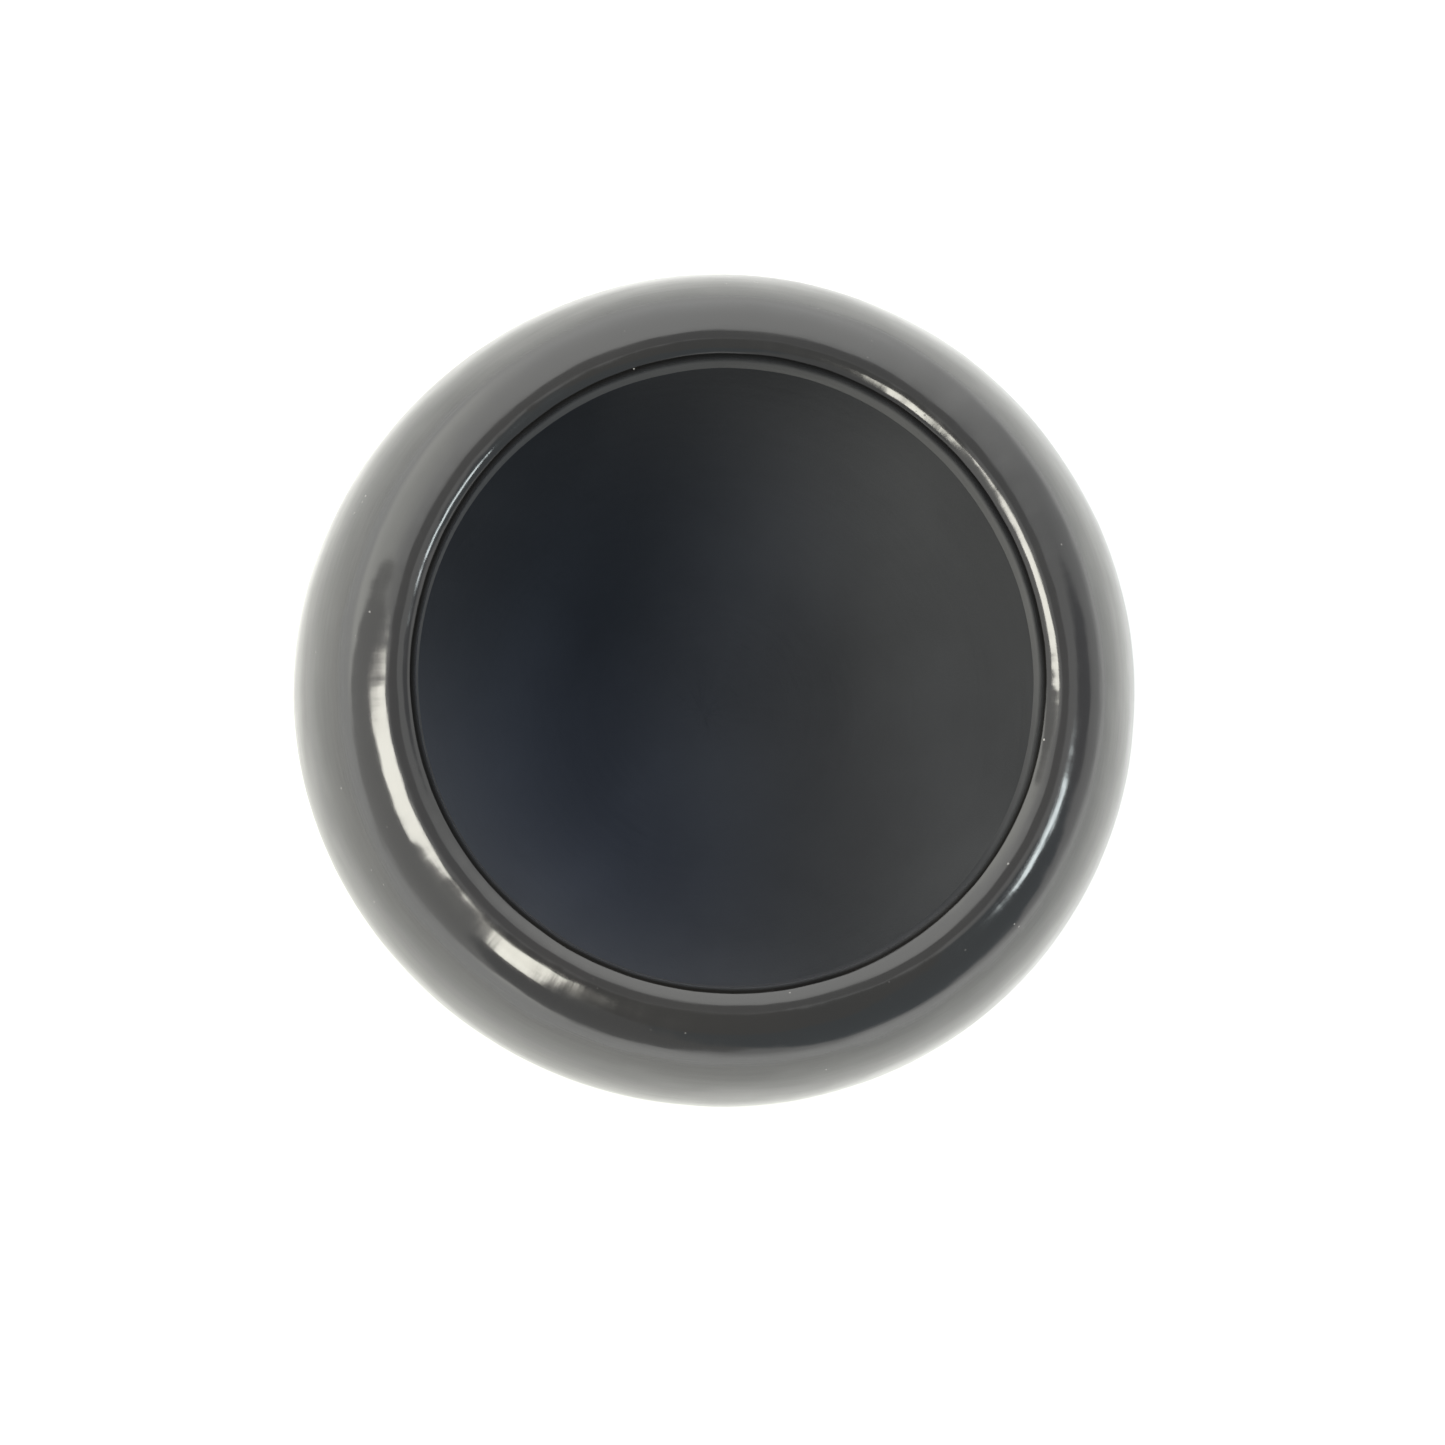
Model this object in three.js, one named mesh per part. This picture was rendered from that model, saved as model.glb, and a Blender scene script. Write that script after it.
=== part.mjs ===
// A hand-built black clay pot: round belly, open mouth and a thick rim rolled inwards.
// Millimetres, +Z up, the origin at the centre of the flat base.
// The wall is a stack of clay courses, each one a closed ring with a thin joint to the next.
import * as THREE from "three";

// Outside of the pot
const POT_HEIGHT = 102; // table to the crest of the rim
const BELLY_RADIUS = 80; // widest point
const BELLY_HEIGHT = 64; // height of the widest point
const BOWL_CURVE = 70; // section radius of the wall below the belly
const SHOULDER_CURVE = 51; // section radius of the wall above the belly
const FOOT_CURVE = 10; // rounding between the wall and the flat base
const ROLL_CURVE = 11.4; // outer half of the rolled rim

// Rim and mouth
const LIP_CURVE = 3.4; // inner half of the rolled rim, from the crest down to the mouth
const RIM_UNDERSIDE = 92; // height of the underside of the rim
const LIP_EDGE = 2; // rounding of the lower edge of the lip
const UNDERCUT_CURVE = 8; // hollow where the underside of the rim meets the wall

// Inside of the pot
const WALL = 6; // wall thickness
const FLOOR = 7; // thickness of the base
const FLOOR_CURVE = 30; // rounding between the floor and the wall

// Where the courses are joined: degrees above (+) or below (-) the widest point
const BASE_PAT_RADIUS = 30;
const LOWER_JOINT = -22;
const UPPER_JOINT = 5;
const RIM_JOINT = 23;
const JOINT_GAP = 0.3;

// Unevenness left by forming the pot by hand, as shares of the radius, and in mm of height
const BELLY_OVAL = 0.0077; // belly wider along X
const BELLY_LOBES = 0.0038; // three flats round the belly
const MOUTH_OVAL = 0.0059; // mouth longer along one line
const MOUTH_OVAL_TURN = 106; // direction of that line, degrees from +X
const MOUTH_LOBES = 0.0055; // three flats round the mouth
const MOUTH_LOBES_TURN = 82; // direction of one of the fuller parts between them
const RIM_DIP = 0.3; // rim lower on one side
const RIM_DIP_TURN = 230;

const CHORD_ERROR = 0.08; // how far a flat facet may leave the true curve

const INNER_BOWL = BOWL_CURVE - WALL;
const INNER_SHOULDER = SHOULDER_CURVE - WALL;
const bowlCentre = new THREE.Vector2(BELLY_RADIUS - BOWL_CURVE, BELLY_HEIGHT);
const shoulderCentre = new THREE.Vector2(BELLY_RADIUS - SHOULDER_CURVE, BELLY_HEIGHT);

const radians = THREE.MathUtils.degToRad;
const facetAngle = (radius) => 2 * Math.acos(1 - CHORD_ERROR / radius);
const SEGMENTS = 4 * Math.ceil(Math.PI / 2 / facetAngle(BELLY_RADIUS));

// A point on a circle in the section plane: x is the distance from the axis, y the height.
function onCircle(centre, radius, degrees) {
  const angle = radians(degrees);
  return new THREE.Vector2(
    centre.x + radius * Math.cos(angle),
    centre.y + radius * Math.sin(angle),
  );
}

// Points along an arc, as few as keep the facets within the chord error.
function arc(centre, radius, from, to) {
  const steps = Math.ceil(radians(Math.abs(to - from)) / facetAngle(radius));
  return Array.from({ length: steps + 1 }, (_, i) =>
    onCircle(centre, radius, from + ((to - from) * i) / steps),
  );
}

// The small arc that continues a large one smoothly until it runs level at a given height.
// side is 1 when that height is above the large arc's centre, and -1 when it is below.
function easeToLevel(centre, radius, smallRadius, height, side) {
  const reach = radius - smallRadius;
  const sine = (height - side * smallRadius - centre.y) / reach;
  const degrees = THREE.MathUtils.radToDeg(Math.asin(sine));
  return { centre: onCircle(centre, reach, degrees), degrees };
}

const foot = easeToLevel(bowlCentre, BOWL_CURVE, FOOT_CURVE, 0, -1);
const floor = easeToLevel(bowlCentre, INNER_BOWL, FLOOR_CURVE, FLOOR, -1);
const roll = easeToLevel(shoulderCentre, SHOULDER_CURVE, ROLL_CURVE, POT_HEIGHT, 1);
const undercut = easeToLevel(shoulderCentre, INNER_SHOULDER, UNDERCUT_CURVE, RIM_UNDERSIDE, 1);

const CREST_RADIUS = roll.centre.x;
const MOUTH_RADIUS = CREST_RADIUS - LIP_CURVE;

// Half of a joint's gap, as an angle on the inside of the wall.
const halfGap = THREE.MathUtils.radToDeg(JOINT_GAP / 2 / INNER_SHOULDER);

// The section of each course, anticlockwise: up the outside, then down the inside.
function basePatSection() {
  const radius = BASE_PAT_RADIUS - JOINT_GAP / 2;
  return [
    new THREE.Vector2(0, 0),
    new THREE.Vector2(radius, 0),
    new THREE.Vector2(radius, FLOOR),
    new THREE.Vector2(0, FLOOR),
  ];
}

function lowerWallSection() {
  const radius = BASE_PAT_RADIUS + JOINT_GAP / 2;
  const top = LOWER_JOINT - halfGap;
  return [
    new THREE.Vector2(radius, 0),
    ...arc(foot.centre, FOOT_CURVE, -90, foot.degrees),
    ...arc(bowlCentre, BOWL_CURVE, foot.degrees, top).slice(1),
    ...arc(bowlCentre, INNER_BOWL, top, floor.degrees),
    ...arc(floor.centre, FLOOR_CURVE, floor.degrees, -90).slice(1),
    new THREE.Vector2(radius, FLOOR),
  ];
}

function bellyCourseSection() {
  const bottom = LOWER_JOINT + halfGap;
  const top = UPPER_JOINT - halfGap;
  return [
    ...arc(bowlCentre, BOWL_CURVE, bottom, 0),
    ...arc(shoulderCentre, SHOULDER_CURVE, 0, top).slice(1),
    ...arc(shoulderCentre, INNER_SHOULDER, top, 0),
    ...arc(bowlCentre, INNER_BOWL, 0, bottom).slice(1),
  ];
}

function shoulderCourseSection() {
  const bottom = UPPER_JOINT + halfGap;
  const top = RIM_JOINT - halfGap;
  return [
    ...arc(shoulderCentre, SHOULDER_CURVE, bottom, top),
    ...arc(shoulderCentre, INNER_SHOULDER, top, bottom),
  ];
}

function rimRollSection() {
  const bottom = RIM_JOINT + halfGap;
  const lip = new THREE.Vector2(CREST_RADIUS, POT_HEIGHT - LIP_CURVE);
  const edge = new THREE.Vector2(MOUTH_RADIUS + LIP_EDGE, RIM_UNDERSIDE + LIP_EDGE);
  return [
    ...arc(shoulderCentre, SHOULDER_CURVE, bottom, roll.degrees),
    ...arc(roll.centre, ROLL_CURVE, roll.degrees, 90).slice(1),
    ...arc(lip, LIP_CURVE, 90, 180).slice(1),
    ...arc(edge, LIP_EDGE, 180, 270),
    ...arc(undercut.centre, UNDERCUT_CURVE, 90, undercut.degrees),
    ...arc(shoulderCentre, INNER_SHOULDER, undercut.degrees, bottom).slice(1),
  ];
}

// Moves a point of the true round pot to where a potter's hands leave it.
// The base stays flat and round; the unevenness grows towards the belly and the rim.
function byHand(point) {
  const turn = Math.atan2(point.y, point.x);
  const bellyShare = THREE.MathUtils.smoothstep(point.z, 0, BELLY_HEIGHT);
  const rimShare = THREE.MathUtils.smoothstep(point.z, BELLY_HEIGHT, POT_HEIGHT);
  const belly = BELLY_OVAL * Math.cos(2 * turn) - BELLY_LOBES * Math.cos(3 * turn);
  const mouth =
    MOUTH_OVAL * Math.cos(2 * (turn - radians(MOUTH_OVAL_TURN))) +
    MOUTH_LOBES * Math.cos(3 * (turn - radians(MOUTH_LOBES_TURN)));
  const spread = 1 + bellyShare * THREE.MathUtils.lerp(belly, mouth, rimShare);
  const dip = RIM_DIP * rimShare * Math.cos(turn - radians(RIM_DIP_TURN));
  return point.set(point.x * spread, point.y * spread, point.z - dip);
}

// A course as a closed solid: its section turned about the vertical axis, then shaped by hand.
function course(name, section, colour, roughness) {
  const open = section[0].x > 0; // a ring closes on itself, a disc closes on the axis
  const outline = open ? [...section, section[0].clone()] : section;
  const geometry = new THREE.LatheGeometry(outline, SEGMENTS);
  geometry.rotateX(Math.PI / 2); // the turning axis becomes +Z
  const places = geometry.getAttribute("position");
  const point = new THREE.Vector3();
  for (let i = 0; i < places.count; i++) {
    byHand(point.fromBufferAttribute(places, i));
    places.setXYZ(i, point.x, point.y, point.z);
  }
  geometry.computeVertexNormals();
  const material = new THREE.MeshStandardMaterial({ color: colour, roughness, metalness: 0 });
  const mesh = new THREE.Mesh(geometry, material);
  mesh.name = name;
  return mesh;
}

const BURNISHED = 0x161615;
const UNPOLISHED = 0x292b2f;

const pot = new THREE.Group();
pot.name = "black_clay_pot";
pot.add(
  course("base_pat", basePatSection(), UNPOLISHED, 0.8),
  course("lower_wall", lowerWallSection(), BURNISHED, 0.3),
  course("belly_course", bellyCourseSection(), BURNISHED, 0.25),
  course("shoulder_course", shoulderCourseSection(), BURNISHED, 0.22),
  course("rim_roll", rimRollSection(), BURNISHED, 0.2),
);

export default pot;
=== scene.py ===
"""Dresses a hand-built black clay pot: burnished outside, matt inside, in a plain pale studio."""

import logging
import math
from collections.abc import Callable, Iterable, Mapping
from dataclasses import dataclass, field
from enum import Enum

import bpy
from mathutils import Matrix, Vector

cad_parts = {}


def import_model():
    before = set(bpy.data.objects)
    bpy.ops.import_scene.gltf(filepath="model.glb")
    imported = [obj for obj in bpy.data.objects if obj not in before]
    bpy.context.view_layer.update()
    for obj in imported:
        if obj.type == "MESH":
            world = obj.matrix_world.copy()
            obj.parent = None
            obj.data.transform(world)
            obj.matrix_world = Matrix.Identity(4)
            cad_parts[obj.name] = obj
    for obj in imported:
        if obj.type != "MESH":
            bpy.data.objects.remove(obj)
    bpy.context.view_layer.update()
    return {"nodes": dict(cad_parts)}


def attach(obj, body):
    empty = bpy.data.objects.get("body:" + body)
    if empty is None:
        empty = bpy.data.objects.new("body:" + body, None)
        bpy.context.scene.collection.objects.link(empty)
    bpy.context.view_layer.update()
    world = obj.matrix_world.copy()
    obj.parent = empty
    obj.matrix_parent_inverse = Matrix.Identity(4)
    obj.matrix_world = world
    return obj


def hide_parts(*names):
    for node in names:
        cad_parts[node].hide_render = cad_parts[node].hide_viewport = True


LOG = logging.getLogger("black_clay_pot")

MM = 0.001

Point2 = tuple[float, float]
Colour = tuple[float, float, float]


# ---- node benches


class Wire:
    """A socket of a node tree that can be used in arithmetic."""

    def __init__(self, bench: "Bench", socket: bpy.types.NodeSocket) -> None:
        """Keeps the socket and the bench that its Math nodes go on."""
        self.bench = bench
        self.socket = socket

    def math(self, operation: str, *others: "Value") -> "Wire":
        """Adds a Math node that starts from this wire, and returns its result."""
        return self.bench.maths(operation, self, *others)

    def __add__(self, other: "Value") -> "Wire":
        """This plus other."""
        return self.math("ADD", other)

    def __radd__(self, other: float) -> "Wire":
        """Other plus this."""
        return self.bench.maths("ADD", other, self)

    def __sub__(self, other: "Value") -> "Wire":
        """This less other."""
        return self.math("SUBTRACT", other)

    def __rsub__(self, other: float) -> "Wire":
        """Other less this."""
        return self.bench.maths("SUBTRACT", other, self)

    def __mul__(self, other: "Value") -> "Wire":
        """This times other."""
        return self.math("MULTIPLY", other)

    def __rmul__(self, other: float) -> "Wire":
        """Other times this."""
        return self.bench.maths("MULTIPLY", other, self)

    def __truediv__(self, other: "Value") -> "Wire":
        """This over other."""
        return self.math("DIVIDE", other)

    def sine(self) -> "Wire":
        """The sine of this angle."""
        return self.math("SINE")

    def cosine(self) -> "Wire":
        """The cosine of this angle."""
        return self.math("COSINE")

    def most(self, other: "Value") -> "Wire":
        """The larger of this and other."""
        return self.math("MAXIMUM", other)

    def step(self, low: "Value", high: "Value") -> "Wire":
        """Turns this into a share.

        Args:
            low: where the share is still 0.
            high: where the share has reached 1.

        Returns:
            The share, with a smooth rise between low and high.
        """
        sockets = {"Value": self, "From Min": low, "From Max": high}
        kind = {"interpolation_type": "SMOOTHSTEP"}
        return self.bench.node("ShaderNodeMapRange", kind, sockets)


Value = float | int | bool | str | Colour | Wire | bpy.types.ID
Take = Callable[[str], Wire]


class Bench:
    """A node tree under construction, for a material, the world or a shape."""

    def __init__(self, tree: bpy.types.NodeTree) -> None:
        """Empties the tree."""
        self.tree = tree
        tree.nodes.clear()

    def node(
        self,
        kind: str,
        settings: Mapping[str, object] | None = None,
        sockets: Mapping[str | int, Value] | None = None,
        output: str | int = 0,
    ) -> Wire:
        """Adds any node.

        Args:
            kind: the node's type.
            settings: properties set before the sockets.
            sockets: a value or a wire for each input, by name or place.
            output: the name or place of the wanted output.

        Returns:
            The wanted output.
        """
        made = self.tree.nodes.new(kind)
        for name, value in (settings or {}).items():
            setattr(made, name, value)
        for name, value in (sockets or {}).items():
            self.feed(made.inputs[name], value)
        return Wire(self, made.outputs[output]) if len(made.outputs) else Wire(self, None)

    def feed(self, socket: bpy.types.NodeSocket, value: Value) -> None:
        """Links a wire to an input, or sets its value."""
        if isinstance(value, Wire):
            self.tree.links.new(value.socket, socket)
        elif isinstance(value, tuple) and socket.type == "RGBA":
            socket.default_value = (*value, 1.0)
        else:
            socket.default_value = value

    def maths(self, operation: str, *values: Value) -> Wire:
        """Adds a Math node and returns its result."""
        return self.node("ShaderNodeMath", {"operation": operation}, dict(enumerate(values)))

    def vector(self, x: Value, y: Value, z: Value) -> Wire:
        """Three values as one vector."""
        return self.node("ShaderNodeCombineXYZ", None, {"X": x, "Y": y, "Z": z})

    def parts(self, vector: Wire) -> tuple[Wire, Wire, Wire]:
        """Parts a vector.

        Args:
            vector: the vector.

        Returns:
            Its three values.
        """
        made = self.tree.nodes.new("ShaderNodeSeparateXYZ")
        self.feed(made.inputs[0], vector)
        return tuple(Wire(self, made.outputs[i]) for i in range(3))

    def vector_maths(self, operation: str, *values: Value, output: str | int = 0) -> Wire:
        """Adds a Vector Math node and returns one of its results."""
        settings = {"operation": operation}
        return self.node("ShaderNodeVectorMath", settings, dict(enumerate(values)), output)

    def scaled(self, vector: Wire, size: Value) -> Wire:
        """A vector times a number."""
        sockets = {0: vector, "Scale": size}
        return self.node("ShaderNodeVectorMath", {"operation": "SCALE"}, sockets)

    def mix_colours(self, share: Value, first: Value, second: Value, blend: str = "MIX") -> Wire:
        """Blends two colours.

        Args:
            share: how much of the second colour is used, 0 to 1.
            first: the colour at share 0.
            second: the colour at share 1.
            blend: the Mix node's blend type.

        Returns:
            The blended colour.
        """
        settings = {"data_type": "RGBA", "blend_type": blend}
        return self.node("ShaderNodeMix", settings, {0: share, 6: first, 7: second}, 2)

    def noise(self, place: Wire, scale: float, detail: float = 2.0, roughness: float = 0.5) -> Wire:
        """Smooth noise about 0.5 over a place."""
        sockets = {"Vector": place, "Scale": scale, "Detail": detail, "Roughness": roughness}
        return self.node("ShaderNodeTexNoise", None, sockets)


# ---- pot's form


@dataclass
class Section:
    """One half of the pot's outline, from the middle of the base round to the middle of the floor.

    Attributes:
        points: distance from the axis and height of each point.
        marks: the place in points of each named joint or edge.
    """

    points: list[Point2] = field(default_factory=list)
    marks: dict[str, int] = field(default_factory=dict)

    def mark(self, name: str) -> None:
        """Names the latest point."""
        self.marks[name] = len(self.points) - 1

    def line(self, end: Point2, spacing: float) -> None:
        """Adds a straight stretch."""
        start = self.points[-1]
        steps = max(1, math.ceil(math.dist(start, end) / spacing))
        for i in range(1, steps + 1):
            share = i / steps
            self.points.append(tuple(a + (b - a) * share for a, b in zip(start, end)))

    def arc(self, centre: Point2, radius: float, start: float, end: float, spacing: float) -> None:
        """Adds an arc that starts where the outline ends.

        Args:
            centre: the arc's centre.
            radius: its radius.
            start: its first angle in degrees, from outwards towards up.
            end: its last angle.
            spacing: the longest wanted distance between points.
        """
        steps = max(1, math.ceil(math.radians(abs(end - start)) * radius / spacing))
        for i in range(1, steps + 1):
            self.points.append(on_circle(centre, radius, start + (end - start) * i / steps))

    def lengths(self) -> list[float]:
        """Measures the outline.

        Returns:
            The distance along it to each point.
        """
        total = [0.0]
        for a, b in zip(self.points, self.points[1:]):
            total.append(total[-1] + math.dist(a, b))
        return total

    def length_at(self, mark: str) -> float:
        """The distance along the outline to a marked point."""
        return self.lengths()[self.marks[mark]]


def on_circle(centre: Point2, radius: float, degrees: float) -> Point2:
    """A point on a circle in the section plane."""
    angle = math.radians(degrees)
    return centre[0] + radius * math.cos(angle), centre[1] + radius * math.sin(angle)


def ease_to_level(
    centre: Point2, radius: float, small: float, height: float, side: int
) -> tuple[Point2, float]:
    """Continues a large arc with a small one that ends level at a given height.

    Args:
        centre: the large arc's centre.
        radius: the large arc's radius.
        small: the small arc's radius.
        height: where the small arc ends level.
        side: 1 when that height is above the large arc's centre, -1 when it is below.

    Returns:
        The small arc's centre, and the angle in degrees where it takes over.
    """
    reach = radius - small
    degrees = math.degrees(math.asin((height - side * small - centre[1]) / reach))
    return on_circle(centre, reach, degrees), degrees


@dataclass(frozen=True)
class PotForm:
    """The pot's sizes in metres, the same as its solids'."""

    height: float = 102 * MM
    belly_radius: float = 80 * MM
    belly_height: float = 64 * MM
    bowl_curve: float = 70 * MM
    shoulder_curve: float = 51 * MM
    foot_curve: float = 10 * MM
    roll_curve: float = 11.4 * MM
    lip_curve: float = 3.4 * MM
    rim_underside: float = 92 * MM
    lip_edge: float = 2 * MM
    undercut_curve: float = 8 * MM
    wall: float = 6 * MM
    floor: float = 7 * MM
    floor_curve: float = 30 * MM
    base_pat_radius: float = 30 * MM
    lower_joint: float = -22.0
    upper_joint: float = 5.0
    rim_joint: float = 23.0
    wide_spacing: float = 1.2 * MM
    fine_spacing: float = 0.45 * MM
    edge_spacing: float = 0.2 * MM

    def section(self) -> Section:
        """Draws the outline.

        Returns:
            The outline, finely divided, with its joints and edges marked.
        """
        wide, fine, edge = self.wide_spacing, self.fine_spacing, self.edge_spacing
        bowl = (self.belly_radius - self.bowl_curve, self.belly_height)
        shoulder = (self.belly_radius - self.shoulder_curve, self.belly_height)
        inner_bowl = self.bowl_curve - self.wall
        inner_shoulder = self.shoulder_curve - self.wall
        foot, foot_turn = ease_to_level(bowl, self.bowl_curve, self.foot_curve, 0.0, -1)
        dish, dish_turn = ease_to_level(bowl, inner_bowl, self.floor_curve, self.floor, -1)
        roll, roll_turn = ease_to_level(
            shoulder, self.shoulder_curve, self.roll_curve, self.height, 1
        )
        under, under_turn = ease_to_level(
            shoulder, inner_shoulder, self.undercut_curve, self.rim_underside, 1
        )
        lip = (roll[0], self.height - self.lip_curve)
        mouth = roll[0] - self.lip_curve
        lower_edge = (mouth + self.lip_edge, self.rim_underside + self.lip_edge)

        line = Section(points=[(0.0, 0.0)])
        line.line((self.base_pat_radius, 0.0), wide)
        line.mark("pat_outside")
        line.line((foot[0], 0.0), wide)
        line.arc(foot, self.foot_curve, -90, foot_turn, fine)
        line.mark("foot")
        line.arc(bowl, self.bowl_curve, foot_turn, self.lower_joint, wide)
        line.mark("lower_outside")
        line.arc(bowl, self.bowl_curve, self.lower_joint, 0, wide)
        line.arc(shoulder, self.shoulder_curve, 0, self.upper_joint, wide)
        line.mark("upper_outside")
        line.arc(shoulder, self.shoulder_curve, self.upper_joint, self.rim_joint, wide)
        line.mark("rim_outside")
        line.arc(shoulder, self.shoulder_curve, self.rim_joint, roll_turn, wide)
        line.arc(roll, self.roll_curve, roll_turn, 90, fine)
        line.mark("crest")
        line.arc(lip, self.lip_curve, 90, 180, edge)
        line.mark("lip")
        line.line((mouth, lower_edge[1]), fine)
        line.arc(lower_edge, self.lip_edge, 180, 270, edge)
        line.mark("lip_underside")
        line.line((under[0], self.rim_underside), fine)
        line.arc(under, self.undercut_curve, 90, under_turn, fine)
        line.arc(shoulder, inner_shoulder, under_turn, self.rim_joint, wide)
        line.mark("rim_inside")
        line.arc(shoulder, inner_shoulder, self.rim_joint, self.upper_joint, wide)
        line.mark("upper_inside")
        line.arc(shoulder, inner_shoulder, self.upper_joint, 0, wide)
        line.arc(bowl, inner_bowl, 0, self.lower_joint, wide)
        line.mark("lower_inside")
        line.arc(bowl, inner_bowl, self.lower_joint, dish_turn, wide)
        line.arc(dish, self.floor_curve, dish_turn, -90, wide)
        line.line((self.base_pat_radius, self.floor), wide)
        line.mark("pat_inside")
        line.line((0.0, self.floor), wide)
        return line


class Course(Enum):
    """The clay courses: each one's solid, material slot, lower joint and upper joint."""

    BASE_PAT = ("base_pat", "raw_clay", None, "pat")
    LOWER_WALL = ("lower_wall", "burnished_clay", "pat", "lower")
    BELLY = ("belly_course", "burnished_clay", "lower", "upper")
    SHOULDER = ("shoulder_course", "burnished_clay", "upper", "rim")
    RIM = ("rim_roll", "burnished_clay", "rim", None)

    @property
    def solid(self) -> str:
        """The name of the solid that the course refines."""
        return self.value[0]

    @property
    def slot(self) -> str:
        """The name of the course's material slot."""
        return self.value[1]

    def joints(self) -> list[str]:
        """The names of the joints at the course's ends."""
        return [name for name in self.value[2:] if name]

    def stretches(self, section: Section) -> list[tuple[int, int]]:
        """Finds the course's own surface.

        Args:
            section: the outline.

        Returns:
            The first and last point of each stretch of the outline that belongs to the course.
        """
        last = len(section.points) - 1
        lower, upper = self.value[2], self.value[3]
        out_low = section.marks[f"{lower}_outside"] if lower else 0
        in_low = section.marks[f"{lower}_inside"] if lower else last
        if upper is None:
            return [(out_low, in_low)]
        out_high = section.marks[f"{upper}_outside"]
        in_high = section.marks[f"{upper}_inside"]
        return [(out_low, out_high), (in_high, in_low)]


# ---- turned surface


@dataclass(frozen=True)
class HandForming:
    """How a potter's hands leave the turned form, as the solids have it and finer."""

    belly_oval: float = 0.0077  # ovals and lobes are shares of the radius
    belly_lobes: float = 0.0038
    mouth_oval: float = 0.0059
    mouth_oval_turn: float = 106.0  # turns are directions in degrees from +X
    mouth_lobes: float = 0.0055
    mouth_lobes_turn: float = 82.0
    rim_dip: float = 0.3 * MM
    rim_dip_turn: float = 230.0
    stroke_depth: float = 0.15 * MM
    stroke_turns: float = 4.0  # how finely the strokes are divided round the pot
    stroke_rise: float = 95.0  # and up the wall
    swell_depth: float = 0.22 * MM
    swell_rise: float = 18.0
    swell_scale: float = 1.6
    flat_depth: float = 0.10 * MM  # the crest of the rim is flattened all round
    flat_width: float = 2.4 * MM
    flat_place: float = 1.0 * MM  # places are measured from the crest towards the lip
    press_depth: float = 0.30 * MM  # a thumb has pressed one side of the rim
    press_width: float = 4.2 * MM
    press_place: float = 2.2 * MM
    press_turn: float = 330.0
    press_ends: Point2 = (0.7, 0.95)  # cosines from its middle, where it fades out and is full
    kept_foot: Point2 = (0.5 * MM, 9 * MM)  # heights where this relief starts and is full
    seed: float = 4.7


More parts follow.
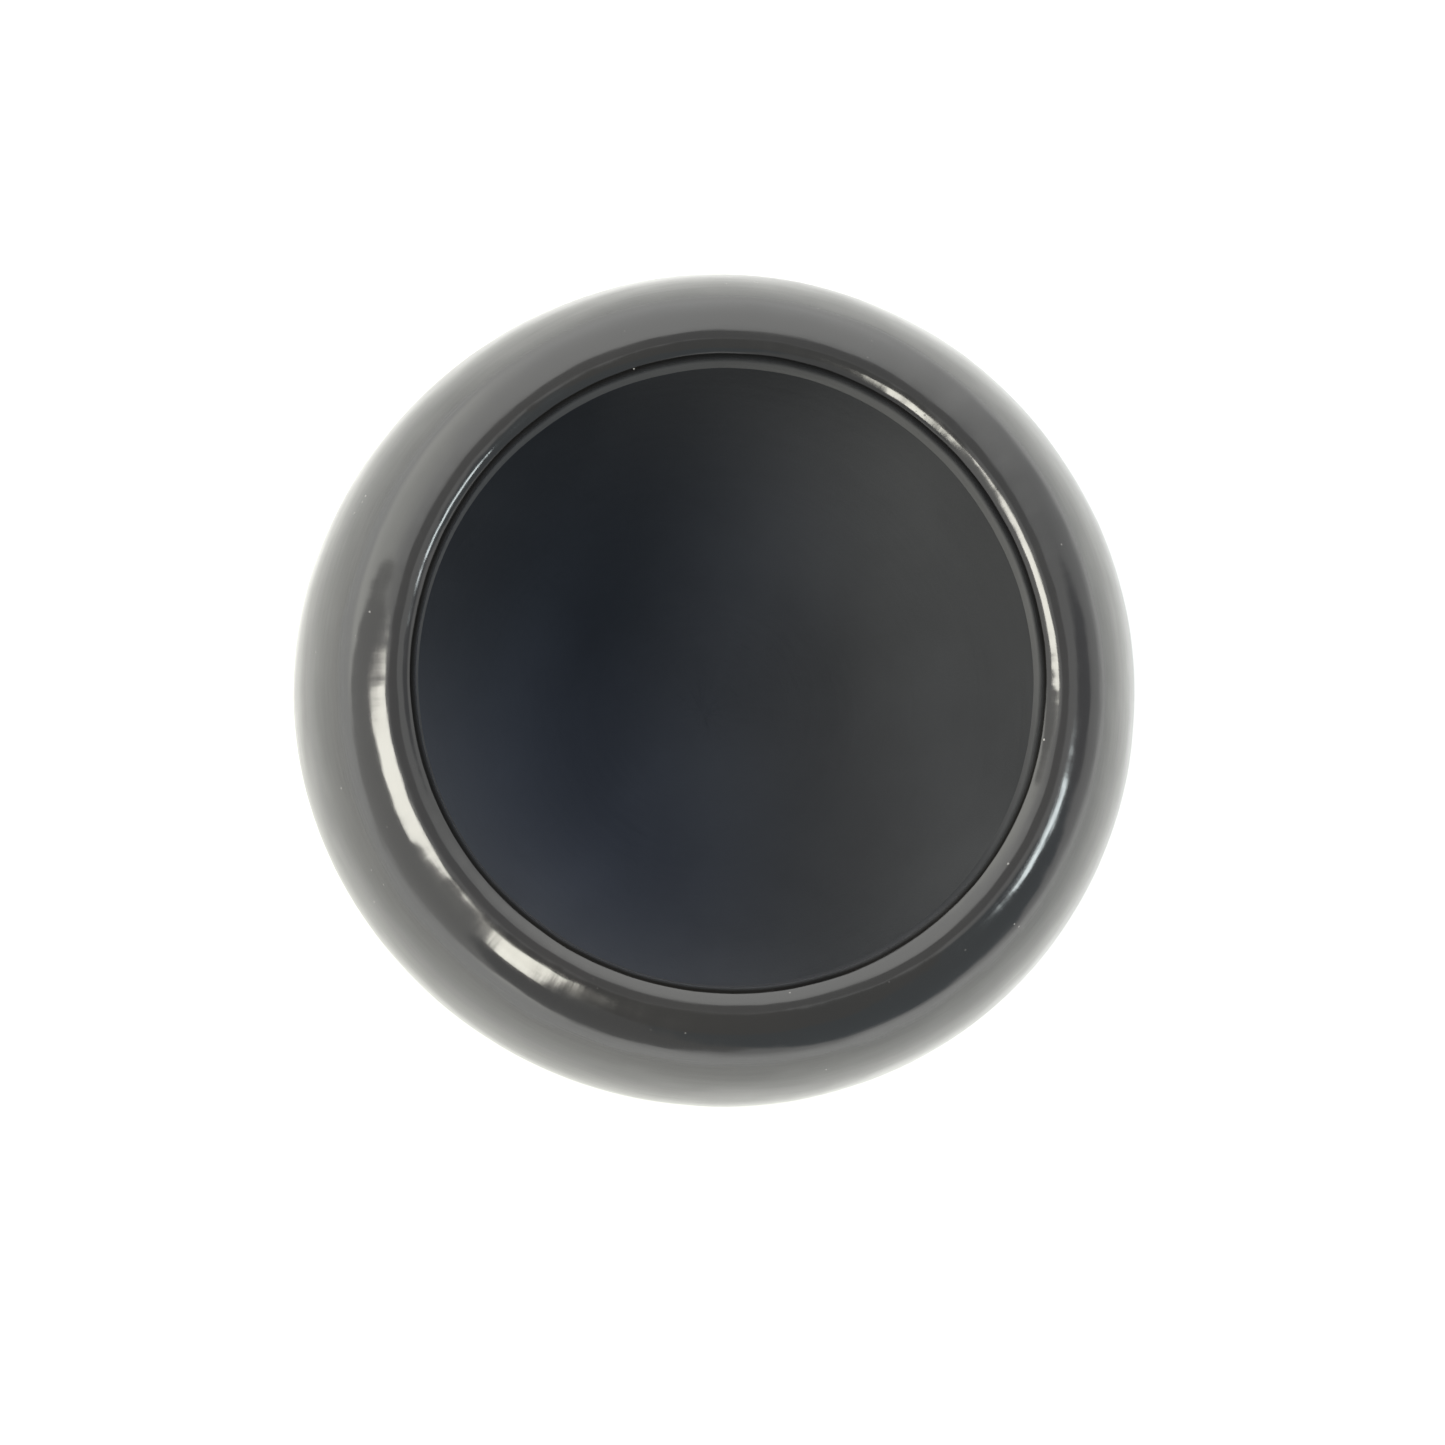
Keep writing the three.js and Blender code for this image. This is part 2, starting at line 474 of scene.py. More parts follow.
class TurnedPot:
    """Turns the outline about the upright axis and shapes it by hand, with Geometry Nodes."""

    TURNS = 320
    MODIFIER = "Turned by hand"

    def __init__(self, form: PotForm, hands: HandForming) -> None:
        """Keeps the sizes."""
        self.form = form
        self.hands = hands
        self.section = form.section()

    def _outline_object(self) -> bpy.types.Object:
        """Makes the outline.

        Returns:
            A string of edges, with the distance along it stored at each point.
        """
        points = [(x, 0.0, z) for x, z in self.section.points]
        edges = [(i, i + 1) for i in range(len(points) - 1)]
        mesh = bpy.data.meshes.new("pot_outline")
        mesh.from_pydata(points, edges, [])
        along = mesh.attributes.new("along", "FLOAT", "POINT")
        along.data.foreach_set("value", self.section.lengths())
        outline = bpy.data.objects.new("pot_outline", mesh)
        bpy.context.scene.collection.objects.link(outline)
        return outline

    def _inputs(self) -> dict[str, tuple[str, float | int]]:
        """Lists what the tree is given.

        Returns:
            The socket type and the value of each named input.
        """
        form, hands = self.form, self.hands
        real, whole = "NodeSocketFloat", "NodeSocketInt"
        crest = self.section.length_at("crest")
        return {
            "Turns": (whole, self.TURNS),
            "Pot height": (real, form.height),
            "Belly height": (real, form.belly_height),
            "Belly oval": (real, hands.belly_oval),
            "Belly lobes": (real, hands.belly_lobes),
            "Mouth oval": (real, hands.mouth_oval),
            "Mouth oval turn": (real, math.radians(hands.mouth_oval_turn)),
            "Mouth lobes": (real, hands.mouth_lobes),
            "Mouth lobes turn": (real, math.radians(hands.mouth_lobes_turn)),
            "Rim dip": (real, hands.rim_dip),
            "Rim dip turn": (real, math.radians(hands.rim_dip_turn)),
            "Stroke depth": (real, hands.stroke_depth),
            "Swell depth": (real, hands.swell_depth),
            "Flat depth": (real, hands.flat_depth),
            "Flat width": (real, hands.flat_width),
            "Flat place": (real, crest + hands.flat_place),
            "Press depth": (real, hands.press_depth),
            "Press width": (real, hands.press_width),
            "Press place": (real, crest + hands.press_place),
            "Press turn": (real, math.radians(hands.press_turn)),
            "Stroke turns": (real, hands.stroke_turns),
            "Stroke rise": (real, hands.stroke_rise),
            "Swell rise": (real, hands.swell_rise),
            "Swell scale": (real, hands.swell_scale),
            "Press fades": (real, hands.press_ends[0]),
            "Press full": (real, hands.press_ends[1]),
            "Foot kept": (real, hands.kept_foot[0]),
            "Foot worked": (real, hands.kept_foot[1]),
            "Seed": (real, hands.seed),
        }

    def _tree(self, material: bpy.types.Material) -> bpy.types.NodeTree:
        """Builds the tree that turns and shapes the outline.

        Args:
            material: the finish of the whole surface.

        Returns:
            The tree, with the outline as its geometry input.
        """
        tree = bpy.data.node_groups.new("Turned clay", "GeometryNodeTree")
        bench = Bench(tree)
        tree.interface.new_socket("Outline", in_out="INPUT", socket_type="NodeSocketGeometry")
        tree.interface.new_socket("Pot", in_out="OUTPUT", socket_type="NodeSocketGeometry")
        for name, (kind, _) in self._inputs().items():
            tree.interface.new_socket(name, in_out="INPUT", socket_type=kind)
        given = tree.nodes.new("NodeGroupInput")

        def take(name: str) -> Wire:
            """One of the tree's inputs."""
            return Wire(bench, given.outputs[name])

        shape = self._turned(bench, take)
        shape = self._shaped(bench, take, shape)
        shape = self._worked(bench, take, shape)
        shape = bench.node("GeometryNodeSetShadeSmooth", None, {"Geometry": shape})
        shape = bench.node("GeometryNodeRealizeInstances", None, {"Geometry": shape})
        dressed = {"Geometry": shape, "Material": material}
        shape = bench.node("GeometryNodeSetMaterial", None, dressed)
        bench.node("NodeGroupOutput", None, {"Pot": shape})
        return tree

    @staticmethod
    def _turned(bench: Bench, take: Take) -> Wire:
        """A sheet wrapped round the axis, each row at one point of the outline.

        Args:
            bench: the tree.
            take: gives one of the tree's inputs by name.

        Returns:
            The closed surface, with the outline's station and distance at each point.
        """
        outline = take("Outline")
        count = bench.node(
            "GeometryNodeAttributeDomainSize", {"component": "MESH"}, {"Geometry": outline}
        )
        sockets = {"Vertices X": count, "Vertices Y": take("Turns") + 1}
        sheet = bench.node("GeometryNodeMeshGrid", None, sockets)
        across, round_axis, _ = bench.parts(bench.node("GeometryNodeInputPosition"))
        station = ((across + 0.5) * (count - 1)).math("ROUND")
        kept = {"data_type": "FLOAT", "domain": "POINT"}
        for name, value in (
            ("station", station),
            ("turn", (round_axis + 0.5) * math.tau),
        ):
            sockets = {"Geometry": sheet, "Name": name, "Value": value}
            sheet = bench.node("GeometryNodeStoreNamedAttribute", kept, sockets)

        def stored(name: str, kind: str = "FLOAT") -> Wire:
            """A named value of the geometry at hand."""
            return bench.node("GeometryNodeInputNamedAttribute", {"data_type": kind}, {"Name": name})

        def sampled(value: Wire, kind: str) -> Wire:
            """A value of the outline at this station."""
            return bench.node(
                "GeometryNodeSampleIndex",
                {"data_type": kind, "domain": "POINT"},
                {"Geometry": outline, "Value": value, "Index": stored("station")},
            )

        along = sampled(stored("along"), "FLOAT")
        sockets = {"Geometry": sheet, "Name": "along", "Value": along}
        sheet = bench.node("GeometryNodeStoreNamedAttribute", kept, sockets)
        place = sampled(bench.node("GeometryNodeInputPosition"), "FLOAT_VECTOR")
        radius, _, height = bench.parts(place)
        turn = stored("turn")
        wrapped = bench.vector(radius * turn.cosine(), radius * turn.sine(), height)
        sheet = bench.node(
            "GeometryNodeSetPosition", None, {"Geometry": sheet, "Position": wrapped}
        )
        sheet = bench.node(
            "GeometryNodeMergeByDistance", None, {"Geometry": sheet, "Distance": 1e-6}
        )
        return bench.node("GeometryNodeFlipFaces", None, {"Mesh": sheet})

    @staticmethod
    def _shaped(bench: Bench, take: Take, shape: Wire) -> Wire:
        """Gives the surface the solids' unevenness: oval and lobed, with a rim that dips.

        Args:
            bench: the tree.
            take: gives one of the tree's inputs by name.
            shape: the turned surface.

        Returns:
            The uneven surface.
        """
        x, y, z = bench.parts(bench.node("GeometryNodeInputPosition"))
        turn = y.math("ARCTAN2", x)
        belly_share = z.step(0.0, take("Belly height"))
        rim_share = z.step(take("Belly height"), take("Pot height"))
        belly = take("Belly oval") * (turn * 2).cosine() - take("Belly lobes") * (turn * 3).cosine()
        mouth = take("Mouth oval") * ((turn - take("Mouth oval turn")) * 2).cosine()
        mouth = mouth + take("Mouth lobes") * ((turn - take("Mouth lobes turn")) * 3).cosine()
        spread = belly_share * (belly + (mouth - belly) * rim_share) + 1
        dip = take("Rim dip") * rim_share * (turn - take("Rim dip turn")).cosine()
        shaped = bench.vector(x * spread, y * spread, z - dip)
        return bench.node("GeometryNodeSetPosition", None, {"Geometry": shape, "Position": shaped})

    @staticmethod
    def _worked(bench: Bench, take: Take, shape: Wire) -> Wire:
        """Works the surface by hand, but for the standing face, which stays flat.

        Args:
            bench: the tree.
            take: gives one of the tree's inputs by name.
            shape: the uneven surface.

        Returns:
            The surface with swells, strokes, a flattened rim and the press of a thumb.
        """
        x, y, z = bench.parts(bench.node("GeometryNodeInputPosition"))
        radius = (x * x + y * y).math("SQRT").most(1 * MM)
        along = bench.node(
            "GeometryNodeInputNamedAttribute", {"data_type": "FLOAT"}, {"Name": "along"}
        )
        seed, fineness = take("Seed"), take("Stroke turns")
        swell_place = bench.vector(x / radius + seed, y / radius, along * take("Swell rise"))
        swell = bench.noise(swell_place, take("Swell scale"), 1.0) - 0.5
        stroke_place = bench.vector(
            x / radius * fineness, y / radius * fineness + seed, along * take("Stroke rise")
        )
        stroke = bench.noise(stroke_place, 1.0, 2.0) - 0.5
        depth = swell * take("Swell depth") * 2 + stroke * take("Stroke depth") * 2
        off_flat = (along - take("Flat place")).math("ABSOLUTE") / take("Flat width")
        depth = depth - take("Flat depth") * (1 - off_flat.step(0.0, 1.0))
        off_press = (along - take("Press place")).math("ABSOLUTE") / take("Press width")
        facing = (y.math("ARCTAN2", x) - take("Press turn")).cosine()
        pressed = take("Press depth") * (1 - off_press.step(0.0, 1.0))
        depth = depth - pressed * facing.step(take("Press fades"), take("Press full"))
        depth = depth * z.step(take("Foot kept"), take("Foot worked"))
        offset = bench.scaled(bench.node("GeometryNodeInputNormal"), depth)
        return bench.node("GeometryNodeSetPosition", None, {"Geometry": shape, "Offset": offset})

    def make(self, material: bpy.types.Material) -> bpy.types.Mesh:
        """Builds the whole surface as one plain mesh.

        Args:
            material: the finish of the surface.

        Returns:
            The closed mesh, with its station, turn and along values kept.
        """
        outline = self._outline_object()
        modifier = outline.modifiers.new(self.MODIFIER, "NODES")
        tree = self._tree(material)
        modifier.node_group = tree
        values = {name: value for name, (_, value) in self._inputs().items()}
        for item in tree.interface.items_tree:
            if item.in_out == "INPUT" and item.name in values:
                modifier[item.identifier] = values[item.name]
        shaped = outline.evaluated_get(bpy.context.evaluated_depsgraph_get())
        whole = bpy.data.meshes.new_from_object(shaped)
        bpy.data.objects.remove(outline)
        return whole


class CourseCutter:
    """Parts the whole surface into its courses, each closed at its joints."""

    def __init__(self, whole: bpy.types.Mesh, section: Section) -> None:
        """Reads the whole surface once.

        Args:
            whole: the surface of the whole pot.
            section: its outline.
        """
        self.section = section
        self.places = [vertex.co.copy() for vertex in whole.vertices]
        self.normals = [normal.vector.copy() for normal in whole.vertex_normals]
        self.stations = self._values(whole, "station")
        self.along = self._values(whole, "along")
        self.faces = [tuple(face.vertices) for face in whole.polygons]
        self.face_stations = [round(min(self.stations[i] for i in f)) for f in self.faces]
        self.rings = self._rings()

    @staticmethod
    def _values(mesh: bpy.types.Mesh, name: str) -> list[float]:
        """Reads a stored value.

        Args:
            mesh: the surface.
            name: what the value is stored as.

        Returns:
            The value at every point.
        """
        values = [0.0] * len(mesh.vertices)
        mesh.attributes[name].data.foreach_get("value", values)
        return values

    def _rings(self) -> dict[int, list[int]]:
        """Finds the joints on the surface.

        Returns:
            The points at each joint's station, in order round the axis.
        """
        wanted = {at for name, at in self.section.marks.items() if name.endswith("side")}
        rings: dict[int, list[int]] = {at: [] for at in wanted}
        for index, station in enumerate(self.stations):
            if round(station) in wanted:
                rings[round(station)].append(index)
        for ring in rings.values():
            ring.sort(key=lambda i: math.atan2(self.places[i].y, self.places[i].x))
        return rings

    def _joint_faces(self, joint: str, upper: bool) -> list[tuple[int, ...]]:
        """The faces that close a course at a joint.

        Args:
            joint: the joint's name.
            upper: whether the joint is at the course's upper or outer end.

        Returns:
            A ring of four-sided faces across the wall.
        """
        outside = self.rings[self.section.marks[f"{joint}_outside"]]
        inside = self.rings[self.section.marks[f"{joint}_inside"]]
        faces = []
        for i in range(len(outside)):
            j = (i + 1) % len(outside)
            face = (outside[i], outside[j], inside[j], inside[i])
            faces.append(face if upper else face[::-1])
        return faces

    def cut(self, course: Course) -> bpy.types.Object:
        """Makes one course as its own closed piece.

        Args:
            course: which course.

        Returns:
            The piece, shaded as a part of the unbroken surface.
        """
        stretches = course.stretches(self.section)
        skin = [
            face
            for face, at in zip(self.faces, self.face_stations)
            if any(low <= at < high for low, high in stretches)
        ]
        joints: list[tuple[int, ...]] = []
        for joint in course.joints():
            joints += self._joint_faces(joint, upper=course.value[3] == joint)
        used = sorted({i for face in skin for i in face})
        new_index = {old: new for new, old in enumerate(used)}
        faces = [tuple(new_index[i] for i in face) for face in skin + joints]
        mesh = bpy.data.meshes.new(course.solid + "_clay")
        mesh.from_pydata([self.places[i] for i in used], [], faces)
        along = mesh.attributes.new("along", "FLOAT", "POINT")
        along.data.foreach_set("value", [self.along[i] for i in used])
        mesh.polygons.foreach_set("use_smooth", [True] * len(faces))
        normals: list[Vector] = []
        for face, old in zip(mesh.polygons, skin + joints):
            at_joint = face.index >= len(skin)
            normals += [face.normal.copy() if at_joint else self.normals[i] for i in old]
        mesh.normals_split_custom_set(normals)
        piece = bpy.data.objects.new(course.solid + "_clay", mesh)
        bpy.context.scene.collection.objects.link(piece)
        return piece


# ---- finishes


@dataclass(frozen=True)
class Working:
    """A pattern that tools leave, drawn out round the pot.

    Attributes:
        turns: how finely it is divided round the pot.
        rise: how finely it is divided up the wall.
        detail: how many finer layers it has.
        roughness: how strong the finer layers are.
        height: the relief it leaves, in metres.
    """

    turns: float
    rise: float
    detail: float
    roughness: float
    height: float = 0.0


@dataclass(frozen=True)
class Clay:
    """Smoke-fired black clay, burnished outside and over the rim, and raw elsewhere."""

    burnished: Colour = (0.0050, 0.0050, 0.0050)
    burnished_warm: Colour = (0.0066, 0.0061, 0.0056)
    raw: Colour = (0.096, 0.099, 0.104)
    # painted shade: the floor inside is painted darker and bluer than the wall
    shaded_floor: Colour = (0.037, 0.044, 0.060)
    scraped: Colour = (0.110, 0.111, 0.112)
    # painted shade: a darker clay colour for one side of the inner wall and the near side of the lip
    # face
    painted_shade: Colour = (0.032, 0.033, 0.036)
    # painted light: the floor inside is painted lighter and warmer on the right, where the left
    # lights fall
    lit_floor: Colour = (0.046, 0.0435, 0.038)
    # directions in degrees from +X of the painted shade on the lip and inner wall, and of the
    # painted light on the floor
    lip_shade_turn: float = 265.0
    wall_shade_turn: float = 60.0
    lit_floor_turn: float = 355.0
    dust: Colour = (0.42, 0.41, 0.39)
    gloss: float = 0.095
    gloss_spread: float = 0.07
    cross_spread: float = 0.03
    raw_roughness: float = 0.78
    raw_shine: float = 0.15
    polish_index: float = 1.65
    strokes: Working = Working(5.0, 900, 2.0, 0.55, 0.018 * MM)
    hairs: Working = Working(90, 150, 1.0, 0.5, 0.004 * MM)
    facets: Working = Working(11, 60, 1.0, 0.35, 0.15 * MM)
    wiping: Working = Working(1.4, 420, 2.0, 0.5, 0.16 * MM)
    streaks: Working = Working(3.0, 260, 3.0, 0.6)
    crossings: Working = Working(45, 170, 3.0, 0.6)
    grain_scale: float = 1400.0
    grain_height: float = 0.05 * MM
    dust_scale: float = 420.0
    dust_size: Point2 = (0.05, 0.10)
    dust_height: float = 0.05 * MM
    side_reach: Point2 = (-25 * MM, 45 * MM)
    lip_line: float = 0.8 * MM
    waver: float = 1.6 * MM

    def _round_place(self, bench: Bench, spread: float, along_scale: float) -> Wire:
        """A pattern place that runs round the pot with no seam.

        Args:
            bench: the material's bench.
            spread: how finely the pattern is divided round the pot.
            along_scale: how finely it is divided up the wall.

        Returns:
            The place.
        """
        x, y, _ = bench.parts(self._place(bench))
        radius = (x * x + y * y).math("SQRT").most(1 * MM)
        return bench.vector(
            x / radius * spread, y / radius * spread, self._along(bench) * along_scale
        )

    @staticmethod
    def _place(bench: Bench) -> Wire:
        """The place on the pot, in metres."""
        return bench.node("ShaderNodeTexCoord", output="Object")

    @staticmethod
    def _along(bench: Bench) -> Wire:
        """The distance along the outline, in metres."""
        return bench.node("ShaderNodeAttribute", {"attribute_name": "along"}, output="Fac")

    def _pattern(self, bench: Bench, made: Working) -> Wire:
        """A tool's pattern as noise about 0.5."""
        place = self._round_place(bench, made.turns, made.rise)
        return bench.noise(place, 1.0, made.detail, made.roughness)

    def _raw_height(self, bench: Bench) -> Wire:
        """The relief of wiped, unpolished clay, in metres."""
        grain = bench.noise(self._place(bench), self.grain_scale, 3.0, 0.6) * self.grain_height
        return grain + self._pattern(bench, self.wiping) * self.wiping.height

    def _burnished_height(self, bench: Bench) -> Wire:
        """The relief left by the burnishing stone, in metres."""
        strokes, hairs, facets = (
            self._pattern(bench, made) * made.height
            for made in (self.strokes, self.hairs, self.facets)
        )
        return strokes + hairs + facets

    def _dust(self, bench: Bench) -> Wire:
        """Scatters small light specks that gather in drifts.

        Args:
            bench: the material's bench.

        Returns:
            1 on a speck, 0 elsewhere.
        """
        place = self._place(bench)
        sockets = {"Vector": place, "Scale": self.dust_scale}
        specks = bench.node("ShaderNodeTexVoronoi", None, sockets, output="Distance")
        drift = bench.noise(place, 70, 2.0).step(0.55, 0.68)
        return (1 - specks.step(*self.dust_size)) * drift

    def _surface(self, bench: Bench, rawness: Value, scraped: Value, depth: Value) -> None:
        """Builds the shader.

        Args:
            bench: the material's bench.
            rawness: 0 where the clay is burnished, 1 where it is raw.
            scraped: 1 where raw clay is scraped pale, 0 elsewhere.
            depth: 0 on the raw wall, 1 on the floor inside, which is painted darker as shade.
        """
        place = self._place(bench)
        cloud = bench.noise(place, 22, 3.0, 0.55).step(0.35, 0.7)
        streak = self._pattern(bench, self.streaks).step(0.3, 0.75)
        across = self._pattern(bench, self.crossings).step(0.3, 0.8)
        dust = self._dust(bench)
        relief = self._burnished_height(bench) + dust * self.dust_height
        burnished = bench.mix_colours(cloud, self.burnished, self.burnished_warm)
        burnished = bench.mix_colours(dust * 0.6, burnished, self.dust)
        gloss = streak * self.gloss_spread + across * self.cross_spread + self.gloss
        polished = bench.node(
            "ShaderNodeBsdfPrincipled",
            None,
            {
                "Base Color": burnished,
                "Roughness": gloss.most(dust * 0.8),
                "Normal": self._bump(bench, relief),
                "IOR": self.polish_index,
            },
        )
        # painted shade darkens the inner wall on one side
        walls = bench.mix_colours(self._side(bench, self.wall_shade_turn) * 0.5, self.raw, self.painted_shade)
        # painted light on the right of the floor inside, mixed over its painted shade
        lit_floor = self._side(bench, self.lit_floor_turn) * 0.5
        raw = bench.mix_colours(depth, walls, bench.mix_colours(lit_floor, self.shaded_floor, self.lit_floor))
        # painted shade on the near side of the pale lip face
        lip_shade = self._side(bench, self.lip_shade_turn)
        scraped_with_shade = bench.mix_colours(lip_shade, self.scraped, self.painted_shade)
        raw = bench.mix_colours(scraped, raw, scraped_with_shade)
        raw = bench.mix_colours(1.0, raw, cloud * 0.16 + 0.92, "MULTIPLY")
        matt = bench.node(
            "ShaderNodeBsdfPrincipled",
            None,
            {
                "Base Color": raw,
                "Roughness": self.raw_roughness,
                "Normal": self._bump(bench, self._raw_height(bench)),
                "Specular IOR Level": self.raw_shine,
            },
        )
        shader = bench.node("ShaderNodeMixShader", None, {0: rawness, 1: polished, 2: matt})
        bench.node("ShaderNodeOutputMaterial", None, {"Surface": shader})

    def _side(self, bench: Bench, turn: float) -> Wire:
        """Tells the pot's two sides apart.

        Args:
            bench: the material's bench.
            turn: the direction of one side, in degrees from +X.

        Returns:
            1 on that side, 0 on the opposite one.
        """
        x, y, _ = bench.parts(self._place(bench))
        angle = math.radians(turn)
        return (x * math.cos(angle) + y * math.sin(angle)).step(*self.side_reach)

    @staticmethod
    def _bump(bench: Bench, height: Wire) -> Wire:
        """The surface's facing, changed by a relief in metres."""
        return bench.node(
            "ShaderNodeBump", None, {"Strength": 1.0, "Distance": 1.0, "Height": height}
        )

    def _depth(self, bench: Bench, section: Section) -> Wire:
        """0 up to the lower wall inside, and 1 on the floor, where shade is painted."""
        start, end = section.length_at("upper_inside"), section.length_at("pat_inside")
        return self._along(bench).step(start, end)

    def wall(self, section: Section) -> bpy.types.Material:
        """The finish of the courses, which turns raw past the lip and under the foot.

        Args:
            section: the outline, which says where the lip and the foot are.

        Returns:
            The material.
        """
        material = bpy.data.materials.new("burnished_black_clay")
        material.use_nodes = True
        bench = Bench(material.node_tree)
        along = self._along(bench)
        waver = (bench.noise(self._place(bench), 90, 2.0) - 0.5) * self.waver
        edge = section.length_at("lip") + self.lip_line
        under = section.length_at("lip_underside")
        foot = section.length_at("pat_outside")
        inside = (along + waver * 0.3).step(edge - 2.7 * MM, edge + 0.9 * MM)
        underneath = 1 - (along + waver).step(foot + 2.5 * MM, foot + 4.5 * MM)
        scraped = inside * (1 - (along + waver).step(under - 1.2 * MM, under + 1.2 * MM))
        self._surface(bench, inside.most(underneath), scraped, self._depth(bench, section))
        return material

    def base(self, section: Section) -> bpy.types.Material:
        """The raw finish of the base, inside and underneath.

        Args:
            section: the outline, which says where the floor inside is.

        Returns:
            The material.
        """
        material = bpy.data.materials.new("raw_black_clay")
        material.use_nodes = True
        bench = Bench(material.node_tree)
        self._surface(bench, 1.0, 0.0, self._depth(bench, section))
        return material


# ---- pot


@dataclass
class ClayPot:
    """The whole pot: its form, its hand forming and its clay."""

    form: PotForm = field(default_factory=PotForm)
    hands: HandForming = field(default_factory=HandForming)
    clay: Clay = field(default_factory=Clay)

    def build(self) -> list[bpy.types.Object]:
        """Makes and dresses every course.

        Returns:
            The courses, from the base up.
        """
        turned = TurnedPot(self.form, self.hands)
        wall = self.clay.wall(turned.section)
        base = self.clay.base(turned.section)
        cutter = CourseCutter(turned.make(wall), turned.section)
        pieces = []
        for course in Course:
            piece = cutter.cut(course)
            piece.data.materials.append(base if course is Course.BASE_PAT else wall)
            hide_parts(course.solid)
            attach(piece, "root")
            course.slot
            LOG.info("%s: %d faces", piece.name, len(piece.data.polygons))
            pieces.append(piece)
        return pieces


# ---- studio


def direction(azimuth: float, elevation: float) -> tuple[float, float, float]:
    """A unit direction, from degrees round from +X and degrees above the horizon."""
    turn, rise = math.radians(azimuth), math.radians(elevation)
    return math.cos(turn) * math.cos(rise), math.sin(turn) * math.cos(rise), math.sin(rise)


@dataclass(frozen=True)
class SoftLight:
    """A soft rectangular light on a circle round the pot, turned towards it.

    Attributes:
        name: what it is called.
        azimuth: its direction, in degrees from +X towards +Y.
        elevation: its height above the horizon, in degrees.
        wide: its width in degrees as the pot sees it.
        tall: its height in degrees as the pot sees it.
        radiance: how bright its face is.
        colour: its tint.
        mirrored: whether polished clay shows its reflection.
        distance: how far it is from the pot.
    """

    name: str
    azimuth: float
    elevation: float
    wide: float
    tall: float
    radiance: float
    colour: Colour
    mirrored: bool = True
    distance: float = 1.1

    def build(self, target: Vector) -> bpy.types.Object:
        """Hangs the light.

        Args:
            target: the point it faces.

        Returns:
            The light.
        """
        size_x = 2 * self.distance * math.tan(math.radians(self.wide / 2))
        size_y = 2 * self.distance * math.tan(math.radians(self.tall / 2))
        lamp = bpy.data.lights.new(self.name, "AREA")
        lamp.shape = "RECTANGLE"
        lamp.size = size_x
        lamp.size_y = size_y
        lamp.energy = self.radiance * math.pi * size_x * size_y
        lamp.color = self.colour
        hung = bpy.data.objects.new(self.name, lamp)
        bpy.context.scene.collection.objects.link(hung)
        away = Vector(direction(self.azimuth, self.elevation))
        hung.location = target + away * self.distance
        hung.rotation_mode = "QUATERNION"
        hung.rotation_quaternion = away.to_track_quat("Z", "Y")
        hung.visible_camera = False
        hung.visible_glossy = self.mirrored
        return hung


@dataclass(frozen=True)
class RoomPatch:
    """A round part of the room that is lighter or darker than the rest.

    Attributes:
        azimuth: its direction, in degrees from +X towards +Y.
        elevation: its height above the horizon, in degrees.
        reach: how far it reaches from its middle, in degrees.
        fade: how wide its edge is, in degrees.
        colour: what it sends out.
    """

    azimuth: float
    elevation: float
    reach: float
    fade: float
    colour: Colour

    def share(self, bench: Bench, way: Wire) -> Wire:
        """Measures the patch.

        Args:
            bench: the world's bench.
            way: a direction.

        Returns:
            How much of the patch is seen that way.
        """
        middle = direction(self.azimuth, self.elevation)
        facing = bench.vector_maths("DOT_PRODUCT", way, middle, output="Value")
        outer = math.cos(math.radians(self.reach + self.fade / 2))
        inner = math.cos(math.radians(self.reach - self.fade / 2))
        return facing.step(outer, inner)


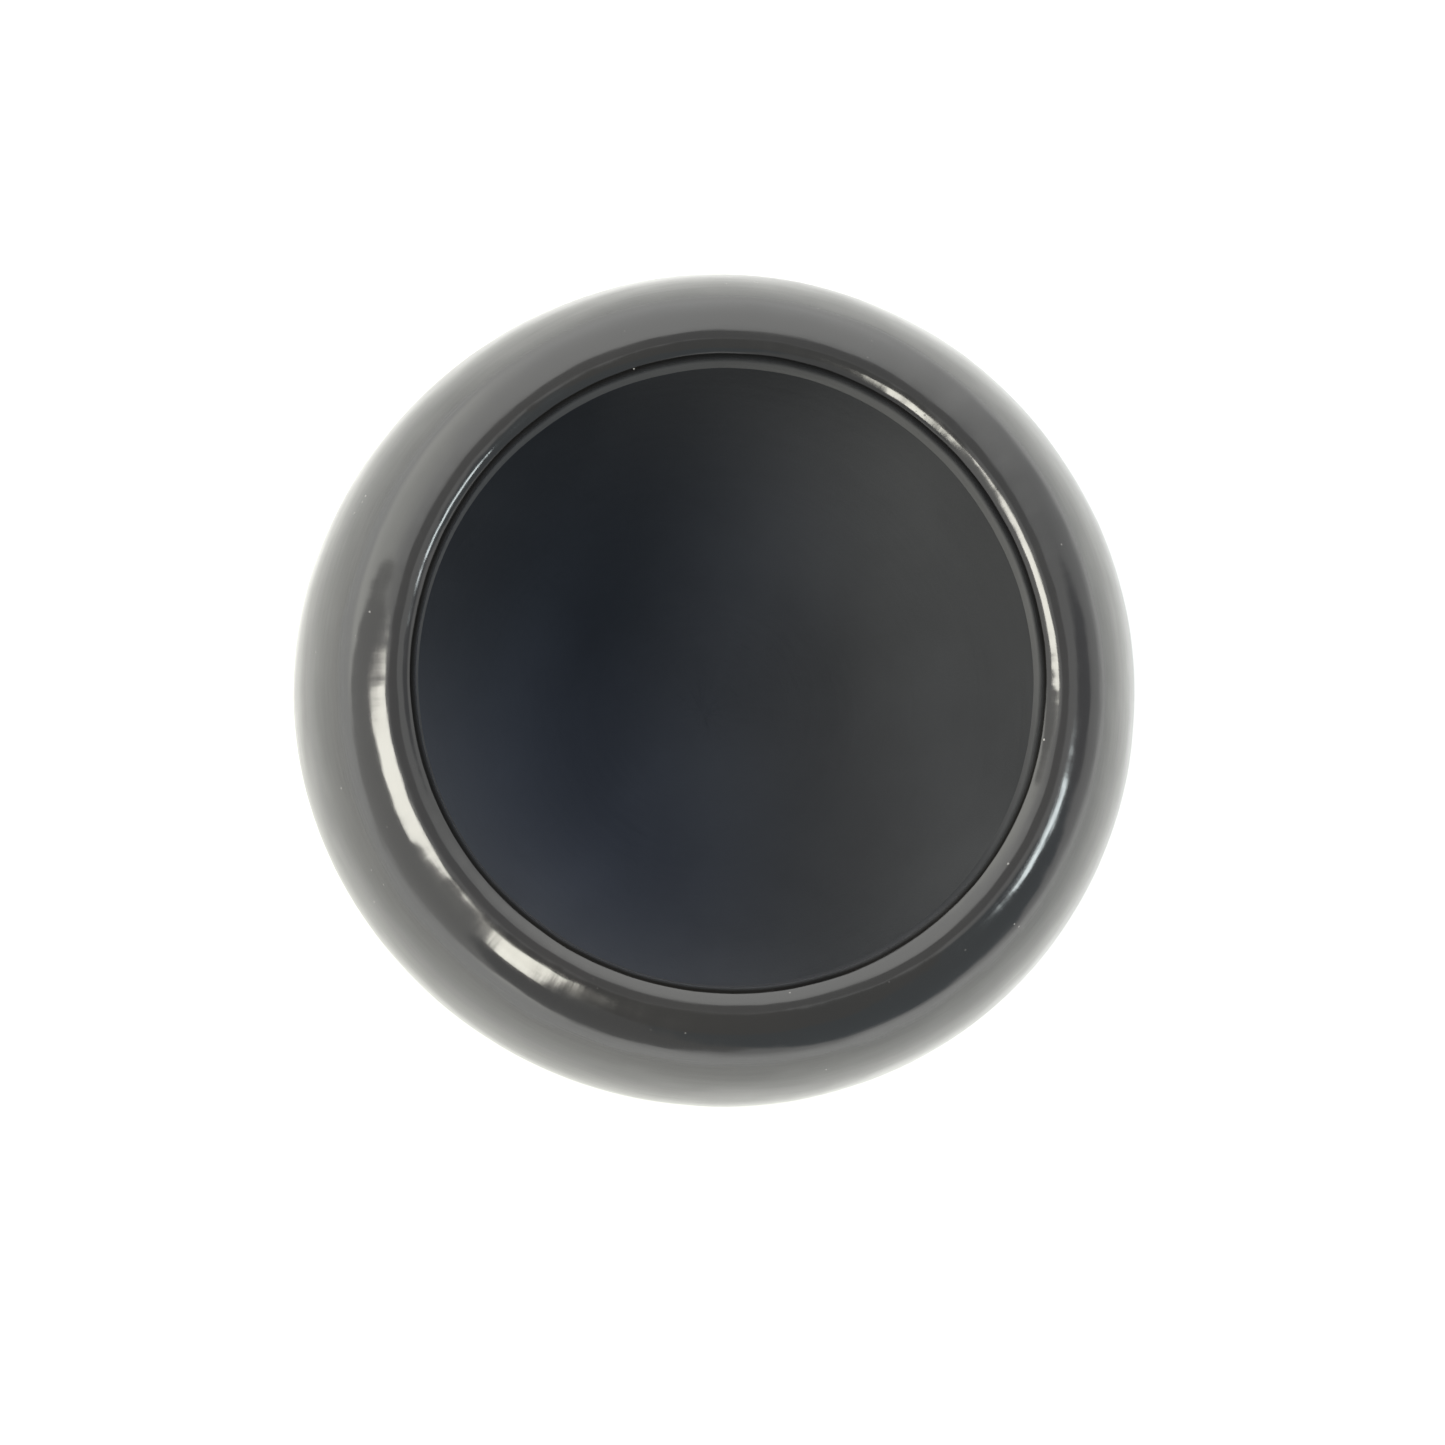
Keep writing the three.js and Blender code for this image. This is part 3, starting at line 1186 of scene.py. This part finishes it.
@dataclass
class Studio:
    """A pale table, four soft lights and a camera that looks down into the pot."""

    floor_radius: float = 0.35
    floor_sides: int = 96
    floor_colour: Colour = (0.68, 0.682, 0.675)
    camera_place: tuple[float, float, float] = (-0.0226, -0.0324, 0.400)
    camera_target: tuple[float, float, float] = (0.0007, -0.0063, 0.064)
    lens: float = 43.3
    sensor: float = 36.0
    lit_height: float = 0.09
    lights: tuple[SoftLight, ...] = (
        SoftLight("left_light", 190, 54, 20, 30, 12.0, (1.0, 0.98, 0.88)),
        SoftLight("near_light", 234, 47, 8.5, 32, 13.0, (1.0, 0.98, 0.87)),
        SoftLight("right_light", 343, 47, 15, 8, 13.0, (0.90, 0.99, 1.0)),
        SoftLight("fill_light", 50, 50, 22, 22, 10.0, (0.97, 0.98, 1.0), mirrored=False),
    )
    room: Colour = (1.35, 1.36, 1.35)
    backdrop: Colour = (0.97, 0.972, 0.975)
    patches: tuple[RoomPatch, ...] = (
        RoomPatch(100, 22, 48, 34, (2.50, 2.51, 2.47)),
        RoomPatch(187, -4, 60, 26, (3.15, 3.16, 3.00)),
        RoomPatch(0, -90, 84, 16, (1.95, 1.96, 1.92)),
        RoomPatch(204, 30, 41, 5, (1.40, 1.40, 1.36)),
        RoomPatch(252, 20, 25, 6, (0.72, 0.73, 0.73)),
        RoomPatch(5, 34, 14, 8, (0.60, 0.61, 0.64)),
        RoomPatch(306, 35, 36, 6, (0.50, 0.56, 0.60)),
        RoomPatch(270, 61, 23, 4, (0.56, 0.56, 0.55)),
        RoomPatch(78, 81, 14, 3, (0.75, 0.75, 0.75)),
    )

    def build(self) -> None:
        """Sets up the whole studio."""
        self._floor()
        self._world()
        target = Vector((0.0, 0.0, self.lit_height))
        for light in self.lights:
            light.build(target)
        self._camera()
        bpy.context.scene.view_settings.view_transform = "Standard"
        LOG.info("studio: %d lights", len(self.lights))

    def _floor(self) -> None:
        """Lays a round pale table top."""
        count = self.floor_sides
        rim = [
            (*on_circle((0.0, 0.0), self.floor_radius, 360 * i / count), 0.0) for i in range(count)
        ]
        mesh = bpy.data.meshes.new("pale_table")
        mesh.from_pydata(rim, [], [tuple(range(count))])
        material = bpy.data.materials.new("pale_table_top")
        material.use_nodes = True
        bench = Bench(material.node_tree)
        place = bench.node("ShaderNodeTexCoord", output="Object")
        tone = bench.noise(place, 5.0, 2.0) * 0.02 + 0.98
        colour = bench.mix_colours(1.0, self.floor_colour, tone, "MULTIPLY")
        shader = bench.node(
            "ShaderNodeBsdfPrincipled", None, {"Base Color": colour, "Roughness": 0.7}
        )
        bench.node("ShaderNodeOutputMaterial", None, {"Surface": shader})
        mesh.materials.append(material)
        floor = bpy.data.objects.new("pale_table", mesh)
        bpy.context.scene.collection.objects.link(floor)

    def _world(self) -> None:
        """Lights the room: a pale wall beyond the pot, and dark where someone stands by it."""
        world = bpy.data.worlds.new("soft_room")
        bpy.context.scene.world = world
        world.use_nodes = True
        bench = Bench(world.node_tree)
        way = bench.node("ShaderNodeTexCoord", output="Generated")
        glow: Wire | Colour = self.room
        for patch in self.patches:
            glow = bench.mix_colours(patch.share(bench, way), glow, patch.colour)
        seen = bench.node("ShaderNodeLightPath", output="Is Camera Ray")
        colour = bench.mix_colours(seen, glow, self.backdrop)
        light = bench.node("ShaderNodeBackground", None, {"Color": colour, "Strength": 1.0})
        bench.node("ShaderNodeOutputWorld", None, {"Surface": light})

    def _camera(self) -> None:
        """Holds the camera almost straight above the pot."""
        data = bpy.data.cameras.new("camera")
        data.lens = self.lens
        data.sensor_width = self.sensor
        camera = bpy.data.objects.new("camera", data)
        camera.location = self.camera_place
        forward = (Vector(self.camera_target) - Vector(self.camera_place)).normalized()
        right = forward.cross(Vector((0.0, 1.0, 0.0))).normalized()
        above = right.cross(forward)
        camera.rotation_mode = "QUATERNION"
        camera.rotation_quaternion = Matrix((right, above, -forward)).transposed().to_quaternion()
        bpy.context.scene.collection.objects.link(camera)
        bpy.context.scene.camera = camera


def main() -> None:
    """Builds the pot round its solids, then the studio, and logs what it made."""
    logging.basicConfig(level=logging.INFO, format="%(name)s: %(message)s")
    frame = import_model()
    LOG.info("solids: %s", ", ".join(sorted(frame["nodes"])))
    ClayPot().build()
    Studio().build()


if __name__ == "__main__":
    main()
